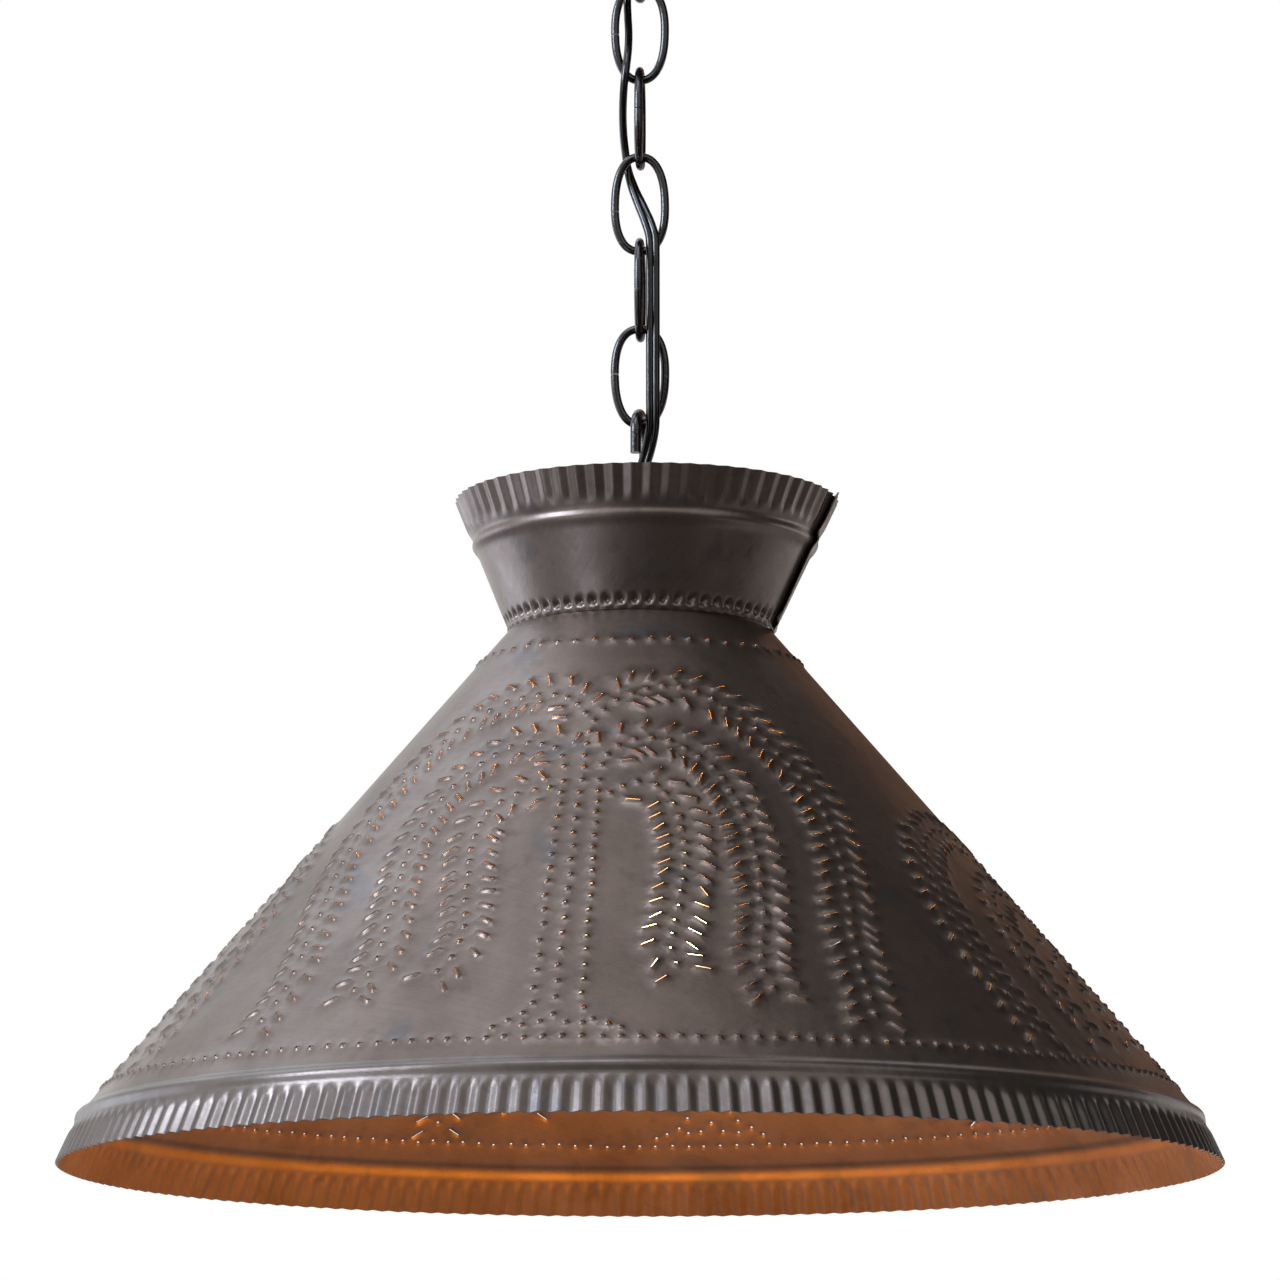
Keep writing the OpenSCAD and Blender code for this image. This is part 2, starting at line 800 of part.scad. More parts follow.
module bulb_stem() {
    flare_r = throat_r - glass_t / 2 - fit;
    foot_z = stem_foot_z + support_d / 2;
    color(frosted, 0.6)
        union() {
            translate([0, 0, foot_z])
                cylinder(d = stem_d, h = base_low_z + stem_flare_h - foot_z);
            translate([0, 0, base_low_z])
                cylinder(r = flare_r, h = stem_flare_h);
        }
}

module bulb_filament() {
    // Two supports fan out from the foot of the stem to the ends of the filament
    root_x = support_d;
    reach = [filament_l / 2 - root_x, stem_foot_z - globe_z];
    color(tungsten)
        translate([0, 0, globe_z])
            union() {
                for (side = [-1, 1])
                    translate([side * root_x, 0, reach[1]])
                        rotate([0, side * (180 - atan(reach[0] / reach[1])), 0])
                            cylinder(d = support_d, h = norm(reach));
                translate([-filament_l / 2, 0, 0])
                    rotate([0, 90, 0])
                        cylinder(d = filament_d, h = filament_l);
            }
}

crossbar();
canopy_screws();
ball_nuts();
canopy();
canopy_loop();
loop_lock_nut();
ground_screw();
wire_connectors();
canopy_leads();
cord_head();
chain_link(1);  // chain_link_1
chain_link(2);  // chain_link_2
chain_link(3);  // chain_link_3
chain_link(4);  // chain_link_4
chain_link(5);  // chain_link_5
cord_stretch(1);  // cord_1
cord_stretch(2);  // cord_2
cord_stretch(3);  // cord_3
cord_stretch(4);  // cord_4
cord_stretch(5);  // cord_5
cord_stretch(6);  // cord_6
hook();
stem_pipe();
top_lock_nut();
top_washer();
neck_plate();
bottom_washer();
bottom_lock_nut();
shade();
collar();
socket_cap();
cap_set_screw();
socket_shell();
socket_liner();
socket_body();
socket_screw_shell();
socket_contact();
terminal_screws();
socket_leads();
cord_tail();
bulb_glass();
bulb_screw_shell();
bulb_insulator();
bulb_contact();
bulb_stem();
bulb_filament();
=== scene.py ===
# A pendant lamp: a wide cone of punched, blackened tin with a tin collar, on a chain with a flat twin cord.
# It is put together from the ceiling down: canopy, chain, cord, hook and stem, collar, shade, lampholder and
# bulb.
import math

import bpy
import numpy as np
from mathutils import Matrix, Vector, geometry


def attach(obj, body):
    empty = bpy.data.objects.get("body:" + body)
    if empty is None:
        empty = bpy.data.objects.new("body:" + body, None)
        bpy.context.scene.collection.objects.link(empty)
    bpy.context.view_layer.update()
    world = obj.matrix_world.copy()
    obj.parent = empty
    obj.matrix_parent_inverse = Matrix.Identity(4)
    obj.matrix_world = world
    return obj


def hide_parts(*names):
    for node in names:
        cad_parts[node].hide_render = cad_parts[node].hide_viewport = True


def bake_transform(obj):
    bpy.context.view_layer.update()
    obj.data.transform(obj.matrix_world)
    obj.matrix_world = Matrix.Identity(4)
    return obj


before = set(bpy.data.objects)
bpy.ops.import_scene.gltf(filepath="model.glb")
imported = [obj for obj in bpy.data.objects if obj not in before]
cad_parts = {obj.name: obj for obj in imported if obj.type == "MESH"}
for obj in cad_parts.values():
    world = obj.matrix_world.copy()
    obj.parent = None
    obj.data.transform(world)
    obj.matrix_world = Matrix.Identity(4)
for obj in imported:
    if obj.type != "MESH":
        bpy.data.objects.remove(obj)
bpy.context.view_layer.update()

# The room: a white studio. The lamp hangs 2.4 m over a pale floor, with a wide soft light high behind its
# left, a small bright one at its left, weak ones low on that side and one overhead. The camera stands lower
# than the rim and looks up.
scene = bpy.context.scene
scene.view_settings.view_transform = "Standard"
lens = bpy.data.cameras.new("camera")
lens.sensor_width = 36
lens.lens = 156.87
look_up = 10.546
camera = bpy.data.objects.new("camera", lens)
camera.location = (0, -1.9469, -0.66)
camera.rotation_euler = (math.radians(90 + look_up), 0, 0)
scene.collection.objects.link(camera)
scene.camera = camera
lamp_middle = Vector((0, 0, -0.36))


def linear(code):
    """An sRGB hex colour as the linear values that a shader takes."""
    part = np.array([int(code[i:i + 2], 16) for i in (1, 3, 5)]) / 255
    return (*np.where(part <= 0.04045, part / 12.92, ((part + 0.055) / 1.055) ** 2.4).tolist(), 1)


def soft_light(name, way, distance, side, power):
    """A square soft light that stands off from the lamp's middle along a direction and faces it."""
    data = bpy.data.lights.new(name, "AREA")
    data.size = side
    data.energy = power
    data.color = linear("#d6e6ff")[:3]
    light = bpy.data.objects.new(name, data)
    off = Vector(way).normalized() * distance
    light.location = lamp_middle + off
    light.rotation_euler = off.to_track_quat("Z", "Y").to_euler()
    scene.collection.objects.link(light)


soft_light("high_left", (-0.46, 0.3, 0.84), 1.9, 1.4, 9.5)
soft_light("left", (-0.78, -0.4, 0.46), 1.9, 0.7, 33)
soft_light("low_left", (-0.88, 0.45, -0.04), 1.9, 1.1, 9)
soft_light("overhead", (-0.2, -0.5, 0.84), 1.9, 0.8, 10)
soft_light("low_front", (-0.66, -0.6, -0.42), 1.9, 0.5, 2)


def add(tree, kind, sockets=None, **settings):
    """One node with its settings; sockets gives inputs, by name or number, a value or an output to link."""
    made = tree.nodes.new(kind)
    for name, value in settings.items():
        setattr(made, name, value)
    for key, value in (sockets or {}).items():
        if isinstance(value, bpy.types.NodeSocket):
            tree.links.new(value, made.inputs[key])
        else:
            made.inputs[key].default_value = value
    return made


def finish(name):
    """An empty material and its node tree."""
    material = bpy.data.materials.new(name)
    material.use_nodes = True
    material.node_tree.nodes.clear()
    return material, material.node_tree


def tint(tree, share, low, high):
    """The colour that a node's first output, from 0 to 1, picks between two; the low one may be a link."""
    low = linear(low) if isinstance(low, str) else low
    mix = add(tree, "ShaderNodeMix", {0: share.outputs[0], 6: low, 7: linear(high)}, data_type="RGBA")
    return mix.outputs[2]


def coat(tree, sockets):
    """Ends a material with one principled shader."""
    shader = add(tree, "ShaderNodeBsdfPrincipled", sockets)
    add(tree, "ShaderNodeOutputMaterial", {"Surface": shader.outputs[0]})


scene.world = bpy.data.worlds.new("studio")
scene.world.use_nodes = True
tree = scene.world.node_tree
tree.nodes.clear()
ray = add(tree, "ShaderNodeLightPath").outputs
seen = add(tree, "ShaderNodeMath", {0: ray["Is Camera Ray"], 1: ray["Is Glossy Ray"]}, operation="MAXIMUM")
seen = add(tree, "ShaderNodeMath", {0: seen.outputs[0], 1: ray["Is Transmission Ray"]}, operation="MAXIMUM")
level = add(tree, "ShaderNodeMapRange", {"Value": seen.outputs[0], "To Min": 0.3, "To Max": 1})
white = add(tree, "ShaderNodeBackground", {"Color": linear("#ffffff"), "Strength": level.outputs[0]})
add(tree, "ShaderNodeOutputWorld", {"Surface": white.outputs[0]})


def stage_panel(name, middle, across, up, half):
    """A flat square of the studio from its middle and its two directions, half its side each way."""
    mesh = bpy.data.meshes.new(name)
    middle, across, up = np.array(middle), np.array(across) * half, np.array(up) * half
    corners = middle + np.stack([-across - up, across - up, across + up, up - across])
    mesh.from_pydata(corners.tolist(), [], [(0, 1, 2, 3)])
    panel = bpy.data.objects.new(name, mesh)
    scene.collection.objects.link(panel)
    return panel


floor = stage_panel("floor", (0, 0, -2.4), (1, 0, 0), (0, 1, 0), 9)
# Matt studio paper, a little warm, with a faint fibre in it; the camera sees it in its own tone, unshaded
material, tree = finish("studio_paper")
place = add(tree, "ShaderNodeTexCoord").outputs["Object"]
fibre = add(tree, "ShaderNodeTexNoise", {"Vector": place, "Scale": 300, "Detail": 3})
tone = tint(tree, fibre, "#eceae6", "#f3f2ef")
shader = add(tree, "ShaderNodeBsdfPrincipled", {"Base Color": tone, "Roughness": 0.9})
bright = add(tree, "ShaderNodeEmission", {"Color": tone})
ray = add(tree, "ShaderNodeLightPath").outputs
shader = add(tree, "ShaderNodeMixShader", {
    0: ray["Is Camera Ray"], 1: shader.outputs[0], 2: bright.outputs[0]})
add(tree, "ShaderNodeOutputMaterial", {"Surface": shader.outputs[0]})
floor.data.materials.append(material)

# Brown cards, out of every picture, that show in the tin's right side, the collar's underside and the front
# of the chain; all are dark but the one behind the right edge
cards = []
for name, dark, light in (("dark_card", "#261b15", "#33261e"), ("tan_card", "#94684a", "#a5775a")):
    material, tree = finish(name)
    place = add(tree, "ShaderNodeTexCoord").outputs["Object"]
    felt = add(tree, "ShaderNodeTexNoise", {"Vector": place, "Scale": 200, "Detail": 2})
    tone = tint(tree, felt, dark, light)
    coat(tree, {"Base Color": tone, "Roughness": 0.95})
    cards.append(material)
right_card = stage_panel("right_card", (1.25, 0.25, 0.75), (-0.66, 0, 0.75), (0, 1, 0), 1.1)
side_card = stage_panel("side_card", (1.5, -0.6, -0.6), (0.37, 0.93, 0), (0, 0, 1), 0.75)
low_card = stage_panel("low_card", (0.3, -0.85, -1.7), (1, 0, 0), (0, -0.75, 0.66), 0.9)
front_card = stage_panel("front_card", (0.3, -2.5, -0.95), (1, 0, 0), (0, 0, 1), 1.4)
back_card = stage_panel("back_card", (0.62, 1.6, 0.38), (0.93, -0.36, 0), (-0.13, -0.35, 0.93), 0.62)
for card in (right_card, side_card, low_card, front_card, back_card):
    card.data.materials.append(cards[card == back_card])
    card.visible_camera = False
    card.visible_diffuse = False
    card.visible_shadow = False

# The ceiling fitting, above the picture: a spun steel canopy with a cast loop, on a zinc crossbar with
# screws and ball nuts, and inside it the wire joints. Its steel is lacquered brown-black, like the chain and
# the hook.
def dress(material, *names):
    """Gives CAD nodes a finish."""
    for name in names:
        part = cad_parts[name]
        for slot in part.material_slots:
            slot.material = material
        if not part.material_slots:
            part.data.materials.append(material)


# Brown-black lacquer on steel: dark and fairly glossy, worn to pale specks about 1.5 mm across on the wire
lacquer, tree = finish("brown_black_lacquer")
place = add(tree, "ShaderNodeTexCoord").outputs["Object"]
cloud = add(tree, "ShaderNodeTexNoise", {"Vector": place, "Scale": 120, "Detail": 4, "Roughness": 0.6})
grit = add(tree, "ShaderNodeTexNoise", {"Vector": place, "Scale": 700, "Detail": 5, "Roughness": 0.7})
tone = tint(tree, cloud, "#0b0706", "#1d130e")
worn = add(tree, "ShaderNodeMapRange", {"Value": grit.outputs[0], "From Min": 0.61, "From Max": 0.67})
tone = tint(tree, worn, tone, "#86705f")
gloss = add(tree, "ShaderNodeMapRange", {"Value": grit.outputs[0], "To Min": 0.06, "To Max": 0.26})
rough = add(tree, "ShaderNodeBump", {"Height": grit.outputs[0], "Strength": 0.22, "Distance": 0.0003})
coat(tree, {
    "Base Color": tone, "Specular IOR Level": 0.6, "Roughness": gloss.outputs[0],
    "Normal": rough.outputs[0]})
dress(lacquer, "ball_nuts", "canopy", "canopy_loop")

# Zinc plate on pressed steel: pale blue-grey with soft spangles 3 mm across
zinc, tree = finish("zinc_plate")
place = add(tree, "ShaderNodeTexCoord").outputs["Object"]
spangle = add(tree, "ShaderNodeTexVoronoi", {"Vector": place, "Scale": 330})
haze = add(tree, "ShaderNodeTexNoise", {"Vector": place, "Scale": 160, "Detail": 4})
tone = tint(tree, spangle, "#a3a7aa", "#c4c6c6")
gloss = add(tree, "ShaderNodeMapRange", {"Value": haze.outputs[0], "To Min": 0.25, "To Max": 0.5})
coat(tree, {"Base Color": tone, "Metallic": 1, "Roughness": gloss.outputs[0]})
dress(zinc, "crossbar", "canopy_screws", "loop_lock_nut")

# Green lacquer on the earth screw, thin enough that the steel's turning marks, 0.5 mm apart, show through
green, tree = finish("green_lacquer")
place = add(tree, "ShaderNodeTexCoord").outputs["Object"]
turned = add(tree, "ShaderNodeTexNoise", {"Vector": place, "Scale": 2000, "Detail": 2})
tone = tint(tree, turned, "#2f6a3d", "#4a8a56")
coat(tree, {"Base Color": tone, "Metallic": 0.4, "Roughness": 0.3})
dress(green, "ground_screw")

# Tan moulded plastic of the wire connectors: satin, with a fine spark-eroded grain of 0.4 mm
tan, tree = finish("tan_moulded_plastic")
place = add(tree, "ShaderNodeTexCoord").outputs["Object"]
grain = add(tree, "ShaderNodeTexNoise", {"Vector": place, "Scale": 2500, "Detail": 2})
tone = tint(tree, grain, "#a9692a", "#c08440")
dull = add(tree, "ShaderNodeBump", {"Height": grain.outputs[0], "Strength": 0.3, "Distance": 0.0001})
coat(tree, {
    "Base Color": tone, "Roughness": 0.42, "Normal": dull.outputs[0]})
dress(tan, "wire_connectors")

# The chain: five oval links of 3 mm steel wire, each bent round and closed with a butt joint that is left
# unwelded, so a hairline shows across the wire. They are lacquered and worn like the canopy.
def smooth_line(points, steps):
    """A Catmull-Rom curve through the points, with some steps from each to the next."""
    ends = [2 * points[:1] - points[1:2], points, 2 * points[-1:] - points[-2:-1]]
    p = np.concatenate(ends)[:, None]
    a, b, c, d = p[:-3], p[1:-2], p[2:-1], p[3:]
    t = (np.arange(steps) / steps)[None, :, None]
    line = b + t * (c - a) / 2 + t**2 * (2 * a - 5 * b + 4 * c - d) / 2 + t**3 * (3 * b - a - 3 * c + d) / 2
    return np.concatenate([line.reshape(-1, points.shape[1]), points[-1:]])


def lattice(rows, columns, closed):
    """The four-cornered faces of a grid of rows by columns, closed on itself across the columns or not."""
    row = np.arange(rows - 1)[:, None] * columns
    left = np.arange(columns if closed else columns - 1)
    right = (left + 1) % columns
    below = row + columns
    return np.stack([row + left, row + right, below + right, below + left], -1).reshape(-1, 4)


def carried(path, wide, outline):
    """An outline carried along a path: its x runs along the wide side, its y square to that and to the path.
    The two ends are closed with a fan round the path's end points."""
    ahead = np.gradient(path, axis=0)
    ahead /= np.linalg.norm(ahead, axis=1, keepdims=True)
    wide = wide - ahead * (wide * ahead).sum(1, keepdims=True)
    wide /= np.linalg.norm(wide, axis=1, keepdims=True)
    thick = np.cross(ahead, wide)
    rings = path[:, None] + wide[:, None] * outline[None, :, :1] + thick[:, None] * outline[None, :, 1:]
    rows, columns = rings.shape[:2]
    points = np.concatenate([rings.reshape(-1, 3), path[:1], path[-1:]])
    side = np.arange(columns)
    after = (side + 1) % columns
    start = np.stack([np.full(columns, rows * columns), after, side], -1)
    last = (rows - 1) * columns
    stop = np.stack([np.full(columns, rows * columns + 1), last + side, last + after], -1)
    return points, lattice(rows, columns, True), start, stop


def piece(name, points, *faces, crease=50, sheet=None):
    """A mesh object from points in millimetres and arrays of faces; edges sharper than crease stay sharp,
    and sheet gives each point's place on the flat sheet, in metres, as the UV map."""
    mesh = bpy.data.meshes.new(name)
    corners = np.concatenate([f.ravel() for f in faces]).astype(np.int32)
    sizes = np.concatenate([np.full(len(f), f.shape[1]) for f in faces])
    mesh.vertices.add(len(points))
    mesh.vertices.foreach_set("co", (points / 1000).astype(np.float32).ravel())
    mesh.loops.add(len(corners))
    mesh.loops.foreach_set("vertex_index", corners)
    mesh.polygons.add(len(sizes))
    mesh.polygons.foreach_set("loop_start", (np.cumsum(sizes) - sizes).astype(np.int32))
    mesh.update(calc_edges=True)
    mesh.shade_smooth()
    mesh.set_sharp_from_angle(angle=math.radians(crease))
    if sheet is not None:
        layer = mesh.uv_layers.new(name="sheet")
        layer.uv.foreach_set("vector", sheet[corners].astype(np.float32).ravel())
    made = bpy.data.objects.new(name, mesh)
    scene.collection.objects.link(made)
    return made


def round_outline(across, sides):
    """A circle as an outline."""
    turn = np.arange(sides) * 2 * np.pi / sides
    return np.stack([np.cos(turn), np.sin(turn)], -1) * across / 2


wire = 3
link_half_w, link_half_l = 9, 17.55
link_z = [-74.05, -105.95, -137.85, -169.75, -201.65]
joint_rise = [0.3, -0.8, 2.2, 1.2, -0.4]
joint_gap = 0.009
bulge = 2 / 2.35
askew = 0.07
for k, (middle, rise) in enumerate(zip(link_z, joint_rise), 1):
    # The wire's middle is an oval, fuller at its shoulders than an ellipse; the joint is on its left or near
    # side
    joint = math.pi + math.asin(rise / link_half_l)
    turn = joint + np.linspace(joint_gap, 2 * np.pi - joint_gap, 160)
    out = link_half_w * np.sign(np.cos(turn)) * np.abs(np.cos(turn)) ** bulge
    up = link_half_l * np.sign(np.sin(turn)) * np.abs(np.sin(turn)) ** bulge
    out = out * (1 + 0.04 * (-1) ** (k // 2) * up / link_half_l)
    flat = np.zeros_like(out)
    # Those seen edge on stand 4 degrees off, so that both sides show
    path = np.stack([out, flat, up + middle] if k % 2 else [askew * out, out, up + middle], -1)
    wide = np.broadcast_to(np.array([0.0, 1, 0] if k % 2 else [1.0, -askew, 0]), path.shape)
    link = piece(f"link_{k}", *carried(path, wide, round_outline(wire, 20)))
    link.data.materials.append(lacquer)
    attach(link, f"link_{k}")
    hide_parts(f"chain_link_{k}")

# The cord: flat twin lamp cord, 5 by 2.8 mm, two round conductors side by side in one brown-black jacket
# with a groove between them. It comes down through the canopy's loop, winds through the chain and enters the
# hub of the hook.
cord_w, cord_t = 5, 2.8
# Points from inside the canopy to inside the stem, with the direction of the wide side in degrees
route = np.array([
    (0, 11, -9, 0), (0, 6.5, -10.5, 0), (0, 2.6, -13.5, 0), (0, 0.4, -18, 0), (0, 0, -24, 20),
    (0, 0, -36, 60), (-0.8, 0.8, -42, 80), (-2.4, 2.6, -48, 90), (-4, 4.2, -54, 90), (-4.6, 4.8, -60, 90),
    (-4.4, 3.2, -67, 90), (-4.1, 0.4, -74, 90), (-4.3, -2.6, -81, 90), (-5, -4.6, -88, 90),
    (-5.7, -4.4, -94, 90), (-6.1, -2.6, -100, 90), (-6.2, 0, -106, 90), (-5.9, 2.6, -112, 90),
    (-5.2, 4.5, -118, 90), (-4.3, 4.6, -124, 80), (-2.4, 3.2, -131, 55), (0.2, 0.6, -138, 30),
    (2.8, -2, -145, 10), (4.4, -3.5, -151, 0), (4.6, -3.8, -157, 0), (4.6, -3.8, -164, 0),
    (4.6, -3.8, -170, 0), (4.6, -3.8, -178, 0), (4.6, -3.8, -186, 0), (4.6, -3.8, -194, 0),
    (4.6, -3.8, -202, 0), (4.6, -3.8, -210, 0), (4.6, -3.7, -217, 0), (4.2, -3, -223, -10),
    (2.9, -1.9, -229, -20), (1.3, -0.8, -234.5, -30), (0.3, -0.2, -240, -40), (0, 0, -247, -45),
    (0, 0, -265, -60), (0, 0, -285, -75), (0, 0, -305, -90), (0, 0, -312, -90)], float)
# Each stretch runs between the middles of two links, across the pivot between them
stretches = [
    ("cord_head", 0, 5, "canopy", None, 0), ("cord_1", 5, 11, "canopy", "link_1", -60.2),
    ("cord_2", 11, 16, "link_1", "link_2", -91.6), ("cord_3", 16, 21, "link_2", "link_3", -123.5),
    ("cord_4", 21, 26, "link_3", "link_4", -155.4), ("cord_5", 26, 30, "link_4", "link_5", -187.3),
    ("cord_6", 30, 36, "link_5", "lamp", -219.2), ("cord_tail", 36, 41, "lamp", None, 0)]
steps = 8
# The outline's radius at each angle is the further of the two conductors' circles
turn = np.arange(28) * 2 * np.pi / 28
apart = (cord_w - cord_t) / 2
radius = apart * np.abs(np.cos(turn)) + np.sqrt((cord_t / 2) ** 2 - (apart * np.sin(turn)) ** 2)
twin = np.stack([np.cos(turn), np.sin(turn)], -1) * radius[:, None]
# PVC jacket: brown-black and satin, drawn lengthwise, so that faint ripples some 9 mm long lie along it
jacket, tree = finish("brown_black_jacket")
place = add(tree, "ShaderNodeTexCoord").outputs["Object"]
drawn = add(tree, "ShaderNodeMapping", {"Vector": place, "Scale": (900, 900, 110)})
ripple = add(tree, "ShaderNodeTexNoise", {"Vector": drawn.outputs[0], "Scale": 1, "Detail": 3})
tone = tint(tree, ripple, "#0a0807", "#15100e")
gloss = add(tree, "ShaderNodeMapRange", {"Value": ripple.outputs[0], "To Min": 0.08, "To Max": 0.22})
wave = add(tree, "ShaderNodeBump", {"Height": ripple.outputs[0], "Strength": 0.25, "Distance": 0.0002})
coat(tree, {
    "Base Color": tone, "Specular IOR Level": 0.5, "Roughness": gloss.outputs[0],
    "Normal": wave.outputs[0]})
whole = smooth_line(route, steps)
for name, first, last, upper, lower, pivot in stretches:
    part = whole[first * steps:last * steps + 1]
    side = np.radians(part[:, 3])
    wide = np.stack([np.cos(side), np.sin(side), np.zeros_like(side)], -1)
    cord = piece(name + "_jacket", *carried(part[:, :3], wide, twin))
    cord.data.materials.append(jacket)
    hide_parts(name)
    if lower is None:
        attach(cord, upper)
        continue
    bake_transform(cord)

# The split leads at the cord's two ends: single conductors 2.3 mm across, to the connectors in the canopy
# and to the screws of the lampholder. They are the same jacket, torn apart along the groove.
lead_d = 2.3
canopy_lead = np.array([(1.3, 11.6, -8.8), (2.4, 16, -8.4), (7, 21, -8.6), (13, 23.9, -9), (19, 24, -9)])
socket_lead = np.array([
    (0, 1.3, -312.6), (0.8, 1.3, -314), (5, 0.8, -314.7), (11.95, 0, -315.4), (14.15, 0, -316.7)])
for name, half, other, body in (
        ("canopy_leads", canopy_lead, (-1, 1, 1), "canopy"),
        ("socket_leads", socket_lead, (-1, -1, 1), "lamp")):
    for side, flip in (("right", (1, 1, 1)), ("left", other)):
        path = smooth_line(half * flip, steps)
        wide = np.broadcast_to(np.array([0.2, 0.3, 1]), path.shape)
        lead = piece(f"{name}_{side}", *carried(path, wide, round_outline(lead_d, 14)))
        lead.data.materials.append(jacket)
        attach(lead, body)
        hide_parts(name)

# The hook and the stem: a hook of 3.8 mm rod cast on a hub, on a threaded steel pipe that goes down through
# the neck plate and is locked there with nuts and washers of zinc-plated steel.
dress(lacquer, "hook")
dress(zinc, "stem_pipe", "top_lock_nut", "top_washer", "bottom_washer", "bottom_lock_nut")

# The collar: a tin strip rolled to a cup that widens upwards, lapped at its right with the outer end a
# little lifted, crimped along the top, swaged with a bead, and dimpled along the bottom where it grips the
# neck.
rim_z = -486.1
neck_r, neck_h = 46.3, 191
collar_low_r, collar_top_r, collar_h = 47, 67.7, 47.3
tin_t = 0.4


def grid_points(*axes):
    """The points of a grid, row by row, from one array for each coordinate, spread over the grid."""
    return np.stack(np.broadcast_arrays(*axes), -1).reshape(-1, len(axes))


def sheet_metal(outer, inner, faces):
    """A thin sheet: outer points, the inner points behind them with the same faces turned round, and a strip
    of faces along each open edge."""
    n = len(outer)
    edge = np.stack([faces, np.roll(faces, -1, 1)], -1).reshape(-1, 2)
    bare = edge[~np.isin(edge[:, 0] * n + edge[:, 1], edge[:, 1] * n + edge[:, 0])]
    strip = np.stack([bare[:, 1], bare[:, 0], bare[:, 0] + n, bare[:, 1] + n], -1)
    return np.concatenate([outer, inner]), faces, faces[:, ::-1] + n, strip


def crimp(turn, count):
    """A pressed zigzag round the edge: a sine whose flanks are drawn nearly straight, from -1 to 1."""
    return np.arcsin(0.95 * np.sin(turn * count)) / math.asin(0.95)


def ease(x):
    """0 below 0, 1 above 1, and a smooth rise between."""
    x = np.clip(x, 0, 1)
    return x * x * (3 - 2 * x)


def blackened_tin(name, brushed, dull="#53453c", bright="#72645a", matt=0):
    """Tin plate blackened with acid and rubbed back, so it is a dark grey-brown metal with clouds some 40 mm
    across, small stains, and fine rubbing marks in one direction on the flat sheet, 22 mm long; those are
    drawn 0.6 mm apart, coarser than the real ones, so that they show. What is rubbed less is rougher by the
    value of matt."""
    material, tree = finish(name)
    coords = add(tree, "ShaderNodeTexCoord").outputs
    along = add(tree, "ShaderNodeMapping", {
        "Vector": coords["UV"], "Rotation": (0, 0, math.radians(brushed)), "Scale": (0.022, 0.0006, 1)},
        vector_type="TEXTURE")
    mark = add(tree, "ShaderNodeTexNoise", {
        "Vector": along.outputs[0], "Scale": 1, "Detail": 4, "Roughness": 0.65})
    cloud = add(tree, "ShaderNodeTexNoise", {
        "Vector": coords["Object"], "Scale": 26, "Detail": 5, "Roughness": 0.6})
    stain = add(tree, "ShaderNodeTexNoise", {"Vector": coords["Object"], "Scale": 150, "Detail": 3})
    shift = add(
        tree, "ShaderNodeMath", {0: mark.outputs[0], 1: 0.3, 2: cloud.outputs[0]}, operation="MULTIPLY_ADD")
    part = add(tree, "ShaderNodeMapRange", {"Value": shift.outputs[0], "From Min": 0.4, "From Max": 0.95})
    tone = tint(tree, part, dull, bright)
    dark = add(tree, "ShaderNodeMapRange", {
        "Value": stain.outputs[0], "From Min": 0.58, "From Max": 0.72, "To Min": 0, "To Max": 0.25})
    tone = tint(tree, dark, tone, "#352b26")
    # Here and there the acid has left a blue-grey bloom, 10 to 20 mm across
    bloom = add(tree, "ShaderNodeTexNoise", {
        "Vector": coords["Object"], "Scale": 38, "Detail": 2, "Distortion": 0.6})
    faint = add(tree, "ShaderNodeMapRange", {
        "Value": bloom.outputs[0], "From Min": 0.62, "From Max": 0.68, "To Min": 0, "To Max": 0.35})
    tone = tint(tree, faint, tone, "#41454b")
    gloss = add(tree, "ShaderNodeMapRange", {
        "Value": shift.outputs[0], "From Min": 0.4, "From Max": 0.95,
        "To Min": 0.4 + matt, "To Max": 0.26 + matt})
    wave = add(tree, "ShaderNodeBump", {"Height": cloud.outputs[0], "Strength": 0.14, "Distance": 0.004})
    line = add(tree, "ShaderNodeBump", {
        "Height": mark.outputs[0], "Strength": 0.1, "Distance": 0.0002, "Normal": wave.outputs[0]})
    coat(tree, {
        "Base Color": tone, "Metallic": 0.72, "Roughness": gloss.outputs[0], "Normal": line.outputs[0]})
    return material
